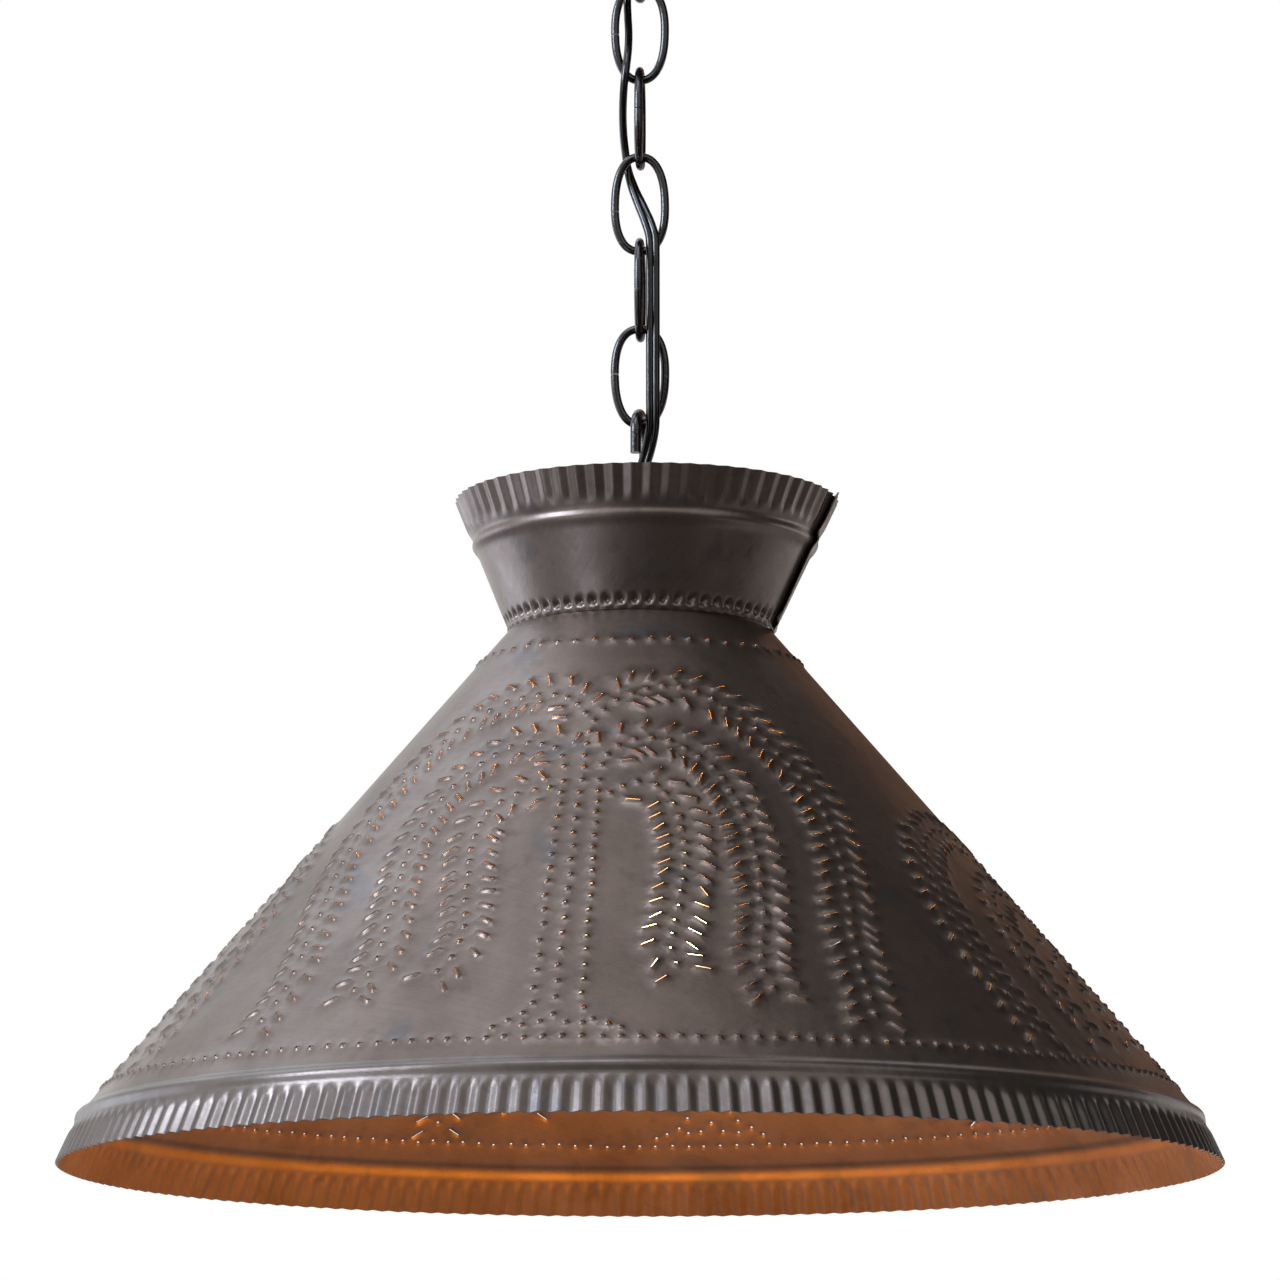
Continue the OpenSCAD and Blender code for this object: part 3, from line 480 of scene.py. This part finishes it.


# The collar's tin is a lighter copy of the shade's tin: painted light that brightens the collar as though
# more light fell on it
lightened_collar_tin = blackened_tin("blackened_tin_collar_lightened", 52, "#665850", "#8b7d75")
seam, lap = 75, 11
flutes, dimples, dimple_pitch = 63, 61, 4.9
flute_h, flute_out = 12.5, 0.48
skirt_rise = np.linspace(0, 7, 25)
cup_rise = np.concatenate([np.linspace(7, 23, 7), np.linspace(24, 34, 17), np.linspace(34.8, collar_h, 11)])
mean_r = 55
for name, columns, rise in (("collar_skirt", 1200, skirt_rise), ("collar_cup", 1000, cup_rise)):
    turn, rise = np.radians(np.linspace(seam, seam + 360 + lap, columns))[None], rise[:, None]
    wall = collar_low_r + (collar_top_r - collar_low_r) * rise / collar_h
    # The bead stands out under a groove that parts it from the flutes
    bead = 0.95 * np.exp(-((rise - 30.4) / 1.8) ** 2) - 0.35 * np.exp(-((rise - 33.5) / 1.3) ** 2)
    flute = flute_out * crimp(turn, flutes) * ease((rise - collar_h + flute_h) / 3.5)
    # Each dimple is a round cup with a lip pushed up under it
    across = ((np.degrees(turn) * dimples / 360) % 1 - 0.5) * dimple_pitch
    pit = -1.7 * np.exp(-((across / 1.25) ** 2 + ((rise - 3.5) / 1.45) ** 2))
    lip = 0.5 * np.exp(-((across / 1.7) ** 2 + ((rise - 1) / 0.8) ** 2))
    edge = np.degrees(turn) - seam
    lift = 0.75 * ease(1 - edge / 22) + 1.5 * ease(1 - edge / 9) ** 2
    # The cup sits a little askew on the neck, leaning to the right
    right = 0.6 + 0.036 * rise
    outer_r = wall + bead + flute + pit + lip + lift
    walls = [
        grid_points(r * np.sin(turn) + right, -r * np.cos(turn), rise + neck_h + rim_z)
        for r in (outer_r, outer_r - tin_t)]
    flat = grid_points(turn * mean_r, rise) / 1000
    faces = lattice(*outer_r.shape, False)
    collar = piece(name, *sheet_metal(*walls, faces), sheet=np.concatenate([flat, flat]))
    collar.data.materials.append(lightened_collar_tin)
    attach(collar, "lamp")
    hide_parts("collar")

# The shade: one tin sheet punched from the inside with four willow trees, two tall and two short, and two
# rings of dots, then rolled to a cone and lapped behind its right side. Each punch leaves a burr with a hole
# that lets light through.
foot_r, foot_h = 192.5, 20
slope = (foot_r - neck_r) / (neck_h - foot_h)
lean = math.atan(slope)
apex_h = neck_h + neck_r / slope
ring_h = (26, 178.2)
leaf_off, leaf_on, leaf_droop = 7.2, 0.72, 36
slit_half, slit_crest = 2.1, 1.9
punch_gap, plain_gap, plain_clear = 3, 3, 2.1
lap_out = 0.5
rng = np.random.default_rng(7)


def on_sheet(turn, h):
    """A point on the flat sheet from its turn round the cone, in degrees, and its height over the rim: the
    sheet is a sector round the cone's tip, where a turn shrinks to its share of the slant."""
    far = (foot_r - (np.asarray(h, float) - foot_h) * slope) / math.sin(lean)
    swing = np.radians(turn) * math.sin(lean)
    return np.stack([far * np.sin(swing), -far * np.cos(swing)], -1)


def rolled(flat, proud, turn):
    """Points of the flat sheet rolled to the cone, proud of it by some height, and turned to their place."""
    far = np.hypot(flat[:, 0], flat[:, 1])
    round_ = np.arctan2(flat[:, 0], -flat[:, 1]) / math.sin(lean) + math.radians(turn)
    r = far * math.sin(lean) + proud * math.cos(lean)
    z = rim_z + apex_h - far * math.cos(lean) + proud * math.sin(lean)
    return np.stack([r * np.sin(round_), -r * np.cos(round_), z], -1)


def row(points, count, after=0):
    """Places along a smooth line through points given by turn from the trunk and height, closer at its start
    than at its end, each moved on by a share of the gap; and the line's direction at each."""
    line = smooth_line(on_sheet(*np.array(points, float).T), 30)
    # It runs on straight past its end, for the place that is moved on from there
    line = np.concatenate([line, line[-1:] + 150 * (line[-1:] - line[-2:-1])])
    reach = np.concatenate([[0], np.cumsum(np.linalg.norm(np.diff(line, axis=0), axis=1))])
    way = np.gradient(line, reach, axis=0)
    share = (np.arange(count) + after) / (count - 1)
    at = reach[-2] * share * (0.86 + 0.14 * share)
    return [np.stack([np.interp(at, reach, v[:, i]) for i in (0, 1)], -1) for v in (line, way)]


def leaves(points, count):
    """The slits of a branch: after each of its dots one to either side, some way off the row and drooping
    towards its tip; their middles and their directions."""
    foot, ahead = row(points, count, leaf_on)
    ahead /= np.linalg.norm(ahead, axis=1, keepdims=True)
    left = np.stack([-ahead[:, 1], ahead[:, 0]], -1)
    out, on = left * math.cos(math.radians(leaf_droop)), ahead * math.sin(math.radians(leaf_droop))
    middles = np.concatenate([foot + leaf_off * left, foot - leaf_off * left])
    return middles, np.concatenate([on + out, on - out])


def spots_along(centre, way, long, count):
    """Some spots along each punch's middle line, which for a dot is its centre."""
    half_line = way[:, None] * (slit_half * long)[:, None, None]
    return centre[:, None] + half_line * np.linspace(-1, 1, count)[:, None]


def tree_punches(half, ring_counts, trunk, roots, branches):
    """All punches of one panel: the two rings, the trunk's three columns, its roots, and the branches with
    their leaves, each a little out of place. Those that would run into an earlier one are left out."""
    rings = [
        on_sheet((np.arange(n) + 0.5) * 2 * half / n - half, np.full(n, h))
        for n, h in zip(ring_counts, ring_h)]
    rows = [row(*line)[0] for line in trunk + branches]
    dots = np.concatenate(rings + rows + [on_sheet(*np.array(roots).T)])
    slits, ways = [np.concatenate(v) for v in zip(*[leaves(*line) for line in branches])]
    centre = np.concatenate([dots, slits])
    long = np.concatenate([np.zeros(len(dots)), np.ones(len(slits))])
    centre = centre + rng.normal(0, 0.25, centre.shape) * (1 + long)[:, None]
    swing = rng.normal(0, math.radians(7), len(slits))
    ways = np.stack([
        ways[:, 0] * np.cos(swing) - ways[:, 1] * np.sin(swing),
        ways[:, 0] * np.sin(swing) + ways[:, 1] * np.cos(swing)], -1)
    way = np.concatenate([np.tile([1.0, 0], (len(dots), 1)), ways])
    trail = spots_along(centre, way, long, 7)
    kept = []
    for i, spots in enumerate(trail):
        far = np.linalg.norm(trail[kept][:, :, None] - spots, axis=-1)
        if not kept or far.min() > punch_gap:
            kept.append(i)
    return centre[kept], way[kept], long[kept]


def line_inside(part, count, rubbed):
    """Gives the shade's outer faces their rubbed finish and the inner ones, which come next, the matt one."""
    for material in (rubbed, inside_tin):
        part.data.materials.append(material)
    side = np.zeros(len(part.data.polygons), np.int32)
    side[count:2 * count] = 1
    part.data.polygons.foreach_set("material_index", side)


def punched_panel(name, centre_turn, half, punches, lapped):
    """One panel of the cone. Every punch is four rings of eight points round its hole, and the plain tin
    between them is filled with triangles on the flat sheet. The tin swells round each punch by the power 1.5
    of what is left of its reach at a distance from its middle line, and the highest swell counts. Then the
    sheet is rolled."""
    centre, way, long = punches
    n = len(centre)
    step = np.radians(np.arange(8) * 45 + 22.5)
    wide = np.where(long[:, None] > 0, [[0.17, 0.55, 1.0, 1.45]], [[0.5, 0.8, 1.15, 1.45]])
    run = np.where(long[:, None] > 0, [[2.35, 2.15, 1.9, 1.65]], [[0, 0, 0, 0]])
    reach = np.where(long > 0, 2.5, 2.2)
    swell = np.where(long > 0, 1.2, 1.15) * rng.uniform(0.85, 1.15, n)
    along = wide[..., None] * np.cos(step) + run[..., None] * np.sign(np.cos(step))
    aside = wide[..., None] * np.sin(step)
    square = np.stack([-way[:, 1], way[:, 0]], -1)
    lengthwise = way[:, None, None] * along[..., None]
    rings = centre[:, None, None] + lengthwise + square[:, None, None] * aside[..., None]
    # Plain tin: rows of points, with the panel's own edge, less those under or close to a punch. They are
    # marked -3 at the neck, -2 along the other edges and -1 elsewhere.
    heights = np.linspace(neck_h, foot_h, 76)
    plain, mark = [], []
    for h in heights:
        r = foot_r - (h - foot_h) * slope
        count = int(np.ceil(2 * np.radians(half) * r / plain_gap))
        plain.append(on_sheet(np.linspace(-half, half, count + 1), np.full(count + 1, h)))
        kind = np.full(count + 1, -3 if h == neck_h else -2 if h == foot_h else -1)
        kind[[0, -1]] = np.minimum(kind[[0, -1]], -2)
        mark.append(kind)
    plain, mark = np.concatenate(plain), np.concatenate(mark)
    feet = rings[:, 3].reshape(-1, 2)
    trail = spots_along(centre, way, long, 5).reshape(-1, 2)
    gap = np.array([np.square(trail - p).sum(1).min() for p in plain])
    keep = (gap > plain_clear**2) | (mark < -1)
    plain, mark = plain[keep], mark[keep]
    flat = np.concatenate([feet, plain])
    owner = np.concatenate([np.repeat(np.arange(n), 8), mark])
    ring_edge = np.arange(n * 8).reshape(n, 8)
    ties = np.stack([ring_edge, np.roll(ring_edge, -1, 1)], -1).reshape(-1, 2)
    made = geometry.delaunay_2d_cdt([Vector(p) for p in flat.tolist()], ties.tolist(), [], 0, 1e-5)
    source = np.array([ids[0] for ids in made[3]])
    tri = source[np.array(made[2])]
    own = owner[tri]
    # Triangles with all corners on one punch, or all on the neck's edge, are holes or slivers
    same = (own[:, 0] == own[:, 1]) & (own[:, 1] == own[:, 2]) & ((own[:, 0] >= 0) | (own[:, 0] == -3))
    a, b, c = flat[tri[:, 0]], flat[tri[:, 1]], flat[tri[:, 2]]
    area = (b[:, 0] - a[:, 0]) * (c[:, 1] - a[:, 1]) - (b[:, 1] - a[:, 1]) * (c[:, 0] - a[:, 0])
    tri = np.where(area[:, None] > 0, tri, tri[:, ::-1])[~same & (np.abs(area) > 1e-4)]
    # The outermost rings are the first points; the three others of each punch follow the plain points
    upper = len(flat) + np.arange(n * 24).reshape(n, 3, 8)
    levels = np.concatenate([upper, ring_edge[:, None]], 1)
    inside, outside = levels[:, :-1], levels[:, 1:]
    band = np.stack([inside, outside, np.roll(outside, -1, 2), np.roll(inside, -1, 2)], -1).reshape(-1, 4)
    faces = np.concatenate([tri, band[:, [0, 1, 2]], band[:, [0, 2, 3]]])
    flat = np.concatenate([flat, rings[:, :3].reshape(-1, 2)])
    height = np.zeros(len(flat))
    for at, line, slit, most, wane in zip(centre, way, slit_crest * long, swell, reach):
        near = np.flatnonzero(np.abs(flat - at).max(1) < slit + wane)
        off = flat[near] - at
        off = off - np.clip(off @ line, -slit, slit)[:, None] * line
        left = np.clip(1 - np.hypot(*off.T) / wane, 0, 1)
        height[near] = np.maximum(height[near], most * left**1.5)
    height[np.flatnonzero(owner < -1)] = 0
    side = np.degrees(np.arctan2(flat[:, 0], -flat[:, 1]) / math.sin(lean))
    # A lapped edge is doubled, so only its outer side stands out
    doubled = lapped * lap_out * ease((side - half + 6) / 5)
    outer = rolled(flat, height + doubled + tin_t / 2, centre_turn)
    # The lip of each hole is drawn thin
    lips = np.where(long[:, None] > 0, [[0.16, 0.3, tin_t]], [[0.45, tin_t, tin_t]])
    thin = np.concatenate([np.full(len(owner), tin_t), np.repeat(lips, 8)])
    inner = rolled(flat, height + tin_t / 2 - thin, centre_turn)
    swing = math.radians(centre_turn) * math.sin(lean)
    turned = np.array([[math.cos(swing), math.sin(swing)], [-math.sin(swing), math.cos(swing)]])
    spread = flat @ turned / 1000
    panel = piece(name, *sheet_metal(outer, inner, faces), crease=60, sheet=np.concatenate([spread, spread]))
    line_inside(panel, len(faces), shade_tin)
    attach(panel, "lamp")
    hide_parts("shade")


shade_tin = blackened_tin("blackened_tin_shade", -33)
inside_tin = blackened_tin("blackened_tin_inside", -33, matt=0.3)
tall_half, short_half, first_trunk = 50.5, 39.5, -9.5
# Rows by turn from the trunk and height over the rim, with their number of dots
tall_trunk = [
    ([(0.8, 149), (-1.4, 143.5), (-1.6, 138), (-1.2, 122), (-0.8, 103), (0, 75), (0.3, 55), (0.7, 34)], 23),
    ([(-4.6, 121), (-3.8, 100), (-2.8, 74), (-2, 50), (-1.7, 38)], 17),
    ([(2.1, 121), (2.5, 105), (2.8, 83), (3.2, 58), (3.6, 36)], 19)]
tall_branches = [
    ([(3.8, 153), (11.5, 157.5), (20, 158.5), (30, 151.5), (37.5, 138), (42, 115), (39.5, 88), (36, 63),
      (34.4, 36)], 31),
    ([(-3.2, 148), (-9, 154.5), (-18.5, 156.5), (-29, 153.5), (-39.5, 143), (-44.5, 125), (-43.8, 102),
      (-38, 75), (-34.5, 50), (-34.8, 38)], 31),
    ([(2.4, 127), (4, 133.5), (10, 137.5), (17, 135.5), (24, 125), (26.8, 104), (25.5, 78), (23.4, 54),
      (23.8, 44)], 25),
    ([(-5.1, 127), (-7.5, 134), (-14, 137), (-21, 134), (-27.5, 121), (-28.6, 101), (-25.5, 80), (-22.7, 57),
      (-23.4, 46.5)], 25),
    ([(4.1, 116), (9, 120.3), (13.8, 116.7), (16, 104), (15.6, 87), (13.8, 68), (13, 58), (13.6, 52)], 18),
    ([(-6.7, 118.4), (-12.3, 117.2), (-16.6, 111), (-17, 100), (-14.8, 84), (-12.6, 67), (-12.5, 57),
      (-13.7, 51)], 17)]
tall_roots = [
    (-2.5, 34.7), (-3.9, 32), (-5.3, 29.8), (4.7, 32.3), (6.3, 30.2), (7.6, 28.9), (-2.3, 30.3),
    (-0.6, 31.2), (2.1, 31.1), (3.7, 30.4)]
short_trunk = [
    ([(0, 99), (0.2, 66), (0, 34)], 13), ([(2.7, 87), (2.6, 62), (2.8, 41)], 9),
    ([(-2.7, 87), (-2.6, 62), (-2.8, 41)], 9)]
short_right = [
    ([(1.5, 104), (9, 111), (19, 111.5), (28.8, 102), (34, 84), (35.3, 62), (34.9, 48), (34.4, 36)], 23),
    ([(3.2, 86), (9, 90.5), (15.5, 89.5), (20.7, 80), (23.3, 63), (23.2, 50), (22.8, 39)], 15),
    ([(3, 68), (7, 71), (11, 68), (12.8, 58), (12.8, 48), (12.4, 42)], 8)]
short_left = [([(-turn, h) for turn, h in points], count) for points, count in short_right]
short_roots = [(side * turn, h) for side in (1, -1) for turn, h in (
    (3.3, 36.5), (4.2, 33.8), (5.6, 31.4), (7, 29.6), (1.5, 31.2), (3.2, 30.4))]
tip_drop, tip_h = 3, 60
for name, turn, half, counts, trunk, roots, branches, ends in (
        ("tall", 0, tall_half, (53, 15), tall_trunk, tall_roots, tall_branches, (("front", 0), ("back", 0))),
        ("short", 90, short_half, (42, 12), short_trunk, short_roots, short_right + short_left,
         (("right", 1), ("left", 0)))):
    for behind, (side, lapped) in enumerate(ends):
        # The tips of the trees at the back and left reach lower
        drop = tip_drop * behind
        reached = [([(at, h - drop * (h < tip_h)) for at, h in points], count) for points, count in branches]
        punches = tree_punches(half, counts, trunk, roots, reached)
        punched_panel(f"shade_{name}_{side}", first_trunk + turn + 180 * behind, half, punches, lapped)

# The shade's rim and neck edge: the sheet's foot is swaged out in a bead and its edge is crimped all round
# into shallow flutes, whose tin is painted greyer as a bluish sheen for their highlights. At the neck it
# turns up into a short flange, pressed in where the collar's dimples grip it.
rim_flutes, rim_flute_out = 189, 0.6
bead_h, bead_out, bead_tilt = 7, 1.6, math.atan(4.7 / 7)
band_top_r, rim_r, band_h = 197, 202.5, 12.2
band_tilt = math.atan((rim_r - band_top_r) / band_h)
share = np.concatenate([np.linspace(0, 1, 11)[:-1], np.ones(10)])
down = np.concatenate([np.zeros(10), np.linspace(0, 1, 10)])
mid_r = foot_r + (band_top_r - foot_r) * share + (rim_r - band_top_r) * down
mid_h = foot_h - bead_h * share - band_h * down
swell = bead_out * np.sin(np.pi * share) ** 2
turn = np.radians(np.arange(rim_flutes * 10) * 36 / rim_flutes)[None]
flute = rim_flute_out * crimp(turn, rim_flutes) * ease(down * band_h / 3.2)[:, None]
tilt = np.where(down > 0, band_tilt, bead_tilt)[:, None]
run = np.concatenate([[0], np.cumsum(np.hypot(np.diff(mid_r), np.diff(mid_h)))])
far = (foot_r / math.sin(lean) + run)[:, None]
swing = (turn - np.where(turn > np.pi, 2 * np.pi, 0)) * math.sin(lean)
spread = grid_points(far * np.sin(swing), -far * np.cos(swing)) / 1000
walls = []
for off in (tin_t / 2, -tin_t / 2):
    proud = swell[:, None] + flute + off
    r = mid_r[:, None] + proud * np.cos(tilt)
    z = mid_h[:, None] + proud * np.sin(tilt) + rim_z
    walls.append(grid_points(r * np.sin(turn), -r * np.cos(turn), z))
faces = lattice(len(share), turn.shape[1], True)[:, ::-1]
rim = piece("shade_rim", *sheet_metal(*walls, faces), sheet=np.concatenate([spread, spread]))
# The rim's outer tin is a greyer copy of the shade's tin: a painted sheen standing in for bluish-grey
# highlights on its bead and flutes
line_inside(rim, len(faces), blackened_tin("blackened_tin_rim_painted_sheen", -33, "#514740", "#706761"))
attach(rim, "lamp")
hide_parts("shade")

# The flange widens upwards like the collar, once it is pressed in
flare, pressed_in, press_h = 0.437, 2.6, 1.6
turn = np.radians(np.arange(180) * 2)[None]
up = np.array([0, 0.5, 1, 1.6, 3, 6])[:, None]
walls = []
for off in (tin_t / 2, -tin_t / 2):
    r = neck_r + up * flare - pressed_in * ease(up / press_h) + off
    walls.append(grid_points(r * np.sin(turn), -r * np.cos(turn), up + neck_h + rim_z))
spread = grid_points(turn * neck_r, up) / 1000
faces = lattice(len(up), turn.shape[1], True)
flange = piece("shade_flange", *sheet_metal(*walls, faces), sheet=np.concatenate([spread, spread]))
flange.data.materials.append(shade_tin)
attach(flange, "lamp")
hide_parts("shade")
dress(blackened_tin("blackened_tin_plate", 0), "neck_plate")

# The lampholder: a brass cap and shell round a porcelain body with a card liner, a rolled brass screw shell,
# a spring contact and two terminal screws.

# Drawn brass, tarnished in clouds some 11 mm across, with turning marks 0.6 mm apart
brass, tree = finish("drawn_brass")
place = add(tree, "ShaderNodeTexCoord").outputs["Object"]
drawn = add(tree, "ShaderNodeMapping", {"Vector": place, "Scale": (60, 60, 1600)})
mark = add(tree, "ShaderNodeTexNoise", {"Vector": drawn.outputs[0], "Scale": 1, "Detail": 3})
cloud = add(tree, "ShaderNodeTexNoise", {"Vector": place, "Scale": 90, "Detail": 4})
tone = tint(tree, cloud, "#8d6c36", "#c09c58")
gloss = add(tree, "ShaderNodeMapRange", {"Value": mark.outputs[0], "To Min": 0.2, "To Max": 0.42})
coat(tree, {"Base Color": tone, "Metallic": 1, "Roughness": gloss.outputs[0]})
dress(brass, "socket_cap", "cap_set_screw", "socket_shell", "socket_screw_shell", "socket_contact",
      "terminal_screws", "bulb_screw_shell", "bulb_contact")

# Porcelain under a clear glaze: cream white, with faint iron specks 1 mm across
porcelain, tree = finish("glazed_porcelain")
place = add(tree, "ShaderNodeTexCoord").outputs["Object"]
speck = add(tree, "ShaderNodeTexNoise", {"Vector": place, "Scale": 900, "Detail": 2})
few = add(tree, "ShaderNodeMapRange", {"Value": speck.outputs[0], "From Min": 0.66, "From Max": 0.72})
tone = tint(tree, few, "#e6e1d4", "#a3917a")
coat(tree, {"Base Color": tone, "Roughness": 0.25})
dress(porcelain, "socket_body")

# Pressed card: brown and matt, with fibres some 1 mm long
liner_card, tree = finish("pressed_card")
place = add(tree, "ShaderNodeTexCoord").outputs["Object"]
fibre = add(tree, "ShaderNodeTexNoise", {"Vector": place, "Scale": 1100, "Detail": 4, "Distortion": 1.5})
tone = tint(tree, fibre, "#57472f", "#7d6a50")
coat(tree, {"Base Color": tone, "Roughness": 0.85})
dress(liner_card, "socket_liner")

# The bulb: a frosted glass globe, lit warm, on a brass screw base with a black glass insulator; inside it a
# clear glass stem carries a tungsten filament.
frosted, tree = finish("frosted_glass_lit")
place = add(tree, "ShaderNodeTexCoord").outputs["Object"]
# The glow is brightest before the filament, a little to the right of the middle, and weak on the rest
hot_spot, hot, weak = (0.013, 0, -0.405), 40, 3
side_on = add(tree, "ShaderNodeVectorMath", {0: place, 1: (1, 0, 1)}, operation="MULTIPLY")
off = add(tree, "ShaderNodeVectorMath", {0: side_on.outputs[0], 1: hot_spot}, operation="DISTANCE")
glow = add(tree, "ShaderNodeMapRange", {
    "Value": off.outputs[1], "From Min": 0.006, "From Max": 0.017, "To Min": hot, "To Max": weak},
    interpolation_type="SMOOTHSTEP")
etch = add(tree, "ShaderNodeTexNoise", {"Vector": place, "Scale": 2500, "Detail": 2})
tone = tint(tree, etch, "#efe3cf", "#fff6e6")
coat(tree, {
    "Base Color": tone, "Roughness": 0.55, "Emission Color": linear("#ffb877"),
    "Emission Strength": glow.outputs[0]})
dress(frosted, "bulb_glass")
# The light itself starts inside the globe, which lets it through
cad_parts["bulb_glass"].visible_shadow = False
data = bpy.data.lights.new("bulb_light", "POINT")
data.energy = 7
data.color = linear("#ff9e30")[:3]
data.shadow_soft_size = 0.022
bulb_light = bpy.data.objects.new("bulb_light", data)
bulb_light.location = (0, 0, -0.4053)
scene.collection.objects.link(bulb_light)
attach(bulb_light, "bulb")

# Clear glass of the stem, with faint streaks from drawing
clear, tree = finish("clear_stem_glass")
place = add(tree, "ShaderNodeTexCoord").outputs["Object"]
draw = add(tree, "ShaderNodeTexNoise", {"Vector": place, "Scale": 400, "Detail": 2})
tone = tint(tree, draw, "#e4ece8", "#f6faf8")
coat(tree, {"Base Color": tone, "Roughness": 0.05, "Transmission Weight": 1, "IOR": 1.5})
dress(clear, "bulb_stem")

# Black glass in the foot of the base, with a purple swirl
base_glass, tree = finish("black_base_glass")
place = add(tree, "ShaderNodeTexCoord").outputs["Object"]
swirl = add(tree, "ShaderNodeTexNoise", {"Vector": place, "Scale": 500, "Detail": 3})
tone = tint(tree, swirl, "#0d0c10", "#221e28")
coat(tree, {"Base Color": tone, "Roughness": 0.12})
dress(base_glass, "bulb_insulator")

# Drawn tungsten, grey and satin
tungsten, tree = finish("drawn_tungsten")
place = add(tree, "ShaderNodeTexCoord").outputs["Object"]
draw = add(tree, "ShaderNodeTexNoise", {"Vector": place, "Scale": 3000, "Detail": 2})
gloss = add(tree, "ShaderNodeMapRange", {"Value": draw.outputs[0], "To Min": 0.3, "To Max": 0.5})
coat(tree, {"Base Color": linear("#8b8880"), "Metallic": 1, "Roughness": gloss.outputs[0]})
dress(tungsten, "bulb_filament")
